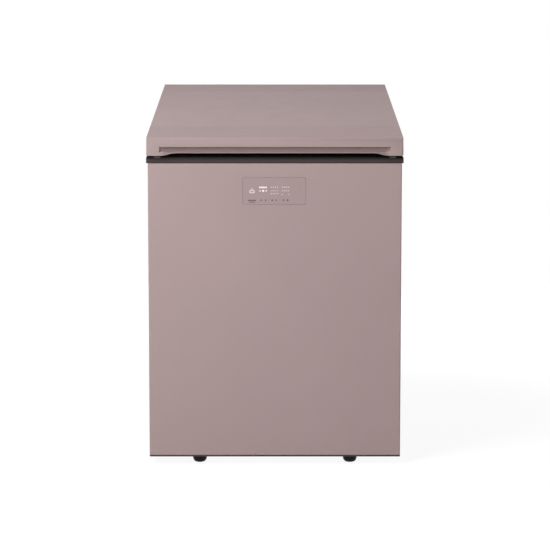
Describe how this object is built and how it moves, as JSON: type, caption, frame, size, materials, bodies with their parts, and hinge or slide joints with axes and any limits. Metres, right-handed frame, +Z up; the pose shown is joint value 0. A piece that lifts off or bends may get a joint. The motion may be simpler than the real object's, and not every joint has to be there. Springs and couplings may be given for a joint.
{
  "type": "kimchi refrigerator",
  "caption": "Chest kimchi refrigerator with a gently sloping hinged lid, full-width finger recess, dark collar and flush touch display.",
  "frame": {"origin": "on the floor, in the middle of the space the appliance takes up", "axes": "+X to the right seen from the front, +Y to the back, +Z up; the front faces -Y"},
  "size_m": [0.67, 0.767, 1.0109],
  "materials": {
    "pink_steel": "matte",
    "pink_plastic": "matte",
    "dark_plastic": "satin",
    "black_plastic": "satin",
    "black_rubber": "matte",
    "grey_rubber": "matte",
    "white_plastic": "satin",
    "gasket": "matte",
    "tub_liner": "satin",
    "foam": "matte",
    "zinc_steel": "satin",
    "copper": "satin",
    "black_steel": "satin",
    "circuit_board": "satin",
    "container_plastic": "satin",
    "container_lid_plastic": "satin"
  },
  "bodies": {
    "cabinet": {"front_panel": "pink_steel", "side_panel_right": "pink_steel", "side_panel_left": "pink_steel", "back_panel": "zinc_steel", "base_pan": "zinc_steel", "front_bottom_trim": "dark_plastic", "display_window": "pink_plastic", "display_board": "circuit_board", "top_collar": "dark_plastic", "lid_bumper_left": "grey_rubber", "lid_bumper_right": "grey_rubber", "inner_tub": "tub_liner", "insulation_foam": "foam", "evaporator_coil": "copper", "hinge_base_left": "zinc_steel", "hinge_base_right": "zinc_steel", "hinge_pin_left": "zinc_steel", "hinge_pin_right": "zinc_steel", "hinge_spring_left": "black_steel", "hinge_spring_right": "black_steel", "roller_bracket_left": "zinc_steel", "roller_bracket_right": "zinc_steel", "roller_axle_left": "zinc_steel", "roller_axle_right": "zinc_steel", "compressor": "black_steel", "compressor_terminal_cover": "black_plastic", "compressor_grommet_1": "black_rubber", "compressor_grommet_2": "black_rubber", "compressor_grommet_3": "black_rubber", "compressor_grommet_4": "black_rubber", "condenser_coil": "black_steel", "fan_shroud": "black_plastic", "fan_motor": "zinc_steel", "filter_drier": "copper", "suction_line": "copper", "control_box": "white_plastic", "rear_cover": "zinc_steel", "cord_gland": "black_rubber"},
    "lid": {"lid_top_panel": "pink_steel", "lid_front_trim": "pink_plastic", "lid_rear_trim": "pink_plastic", "lid_inner_panel": "white_plastic", "lid_foam": "foam", "lid_gasket": "gasket", "hinge_leaf_left": "zinc_steel", "hinge_leaf_right": "zinc_steel"},
    "left_foot": {"levelling_foot_left": "black_plastic"},
    "right_foot": {"levelling_foot_right": "black_plastic"},
    "left_roller": {"roller_wheel_left": "black_plastic"},
    "right_roller": {"roller_wheel_right": "black_plastic"},
    "fan": {"fan_blade": "white_plastic"},
    "front_left_container": {"container_front_left": "container_plastic"},
    "front_right_container": {"container_front_right": "container_plastic"},
    "rear_left_container": {"container_rear_left": "container_plastic"},
    "rear_right_container": {"container_rear_right": "container_plastic"},
    "front_left_container_lid": {"container_lid_front_left": "container_lid_plastic"},
    "front_right_container_lid": {"container_lid_front_right": "container_lid_plastic"},
    "rear_left_container_lid": {"container_lid_rear_left": "container_lid_plastic"},
    "rear_right_container_lid": {"container_lid_rear_right": "container_lid_plastic"}
  },
  "joints": [
    {"name": "lid_hinge", "type": "hinge", "parent": "cabinet", "child": "lid", "pos_m": [0, 0.374, 0.97146], "axis": [-1, 0, 0], "range_deg": [0, 80]},
    {"name": "left_foot_screw", "type": "slide", "parent": "cabinet", "child": "left_foot", "axis": [0, 0, 1], "range_m": [-0.012, 0.004]},
    {"name": "right_foot_screw", "type": "slide", "parent": "cabinet", "child": "right_foot", "axis": [0, 0, 1], "range_m": [-0.012, 0.004]},
    {"name": "left_roller_spin", "type": "hinge", "parent": "cabinet", "child": "left_roller", "pos_m": [-0.232, 0.3, 0.0108], "axis": [1, 0, 0], "continuous": true},
    {"name": "right_roller_spin", "type": "hinge", "parent": "cabinet", "child": "right_roller", "pos_m": [0.232, 0.3, 0.0108], "axis": [1, 0, 0], "continuous": true},
    {"name": "fan_spin", "type": "hinge", "parent": "cabinet", "child": "fan", "pos_m": [0.108, 0.2475, 0.1205], "axis": [1, 0, 0], "continuous": true},
    {"name": "front_left_container_lift", "type": "slide", "parent": "cabinet", "child": "front_left_container", "axis": [0, 0, 1], "range_m": [0, 0.2]},
    {"name": "front_right_container_lift", "type": "slide", "parent": "cabinet", "child": "front_right_container", "axis": [0, 0, 1], "range_m": [0, 0.2]},
    {"name": "rear_left_container_lift", "type": "slide", "parent": "cabinet", "child": "rear_left_container", "axis": [0, 0, 1], "range_m": [0, 0.2]},
    {"name": "rear_right_container_lift", "type": "slide", "parent": "cabinet", "child": "rear_right_container", "axis": [0, 0, 1], "range_m": [0, 0.2]},
    {"name": "front_left_container_lid_lift", "type": "slide", "parent": "front_left_container", "child": "front_left_container_lid", "axis": [0, 0, 1], "range_m": [0, 0.17]},
    {"name": "front_right_container_lid_lift", "type": "slide", "parent": "front_right_container", "child": "front_right_container_lid", "axis": [0, 0, 1], "range_m": [0, 0.17]},
    {"name": "rear_left_container_lid_lift", "type": "slide", "parent": "rear_left_container", "child": "rear_left_container_lid", "axis": [0, 0, 1], "range_m": [0, 0.17]},
    {"name": "rear_right_container_lid_lift", "type": "slide", "parent": "rear_right_container", "child": "rear_right_container_lid", "axis": [0, 0, 1], "range_m": [0, 0.17]}
  ]
}
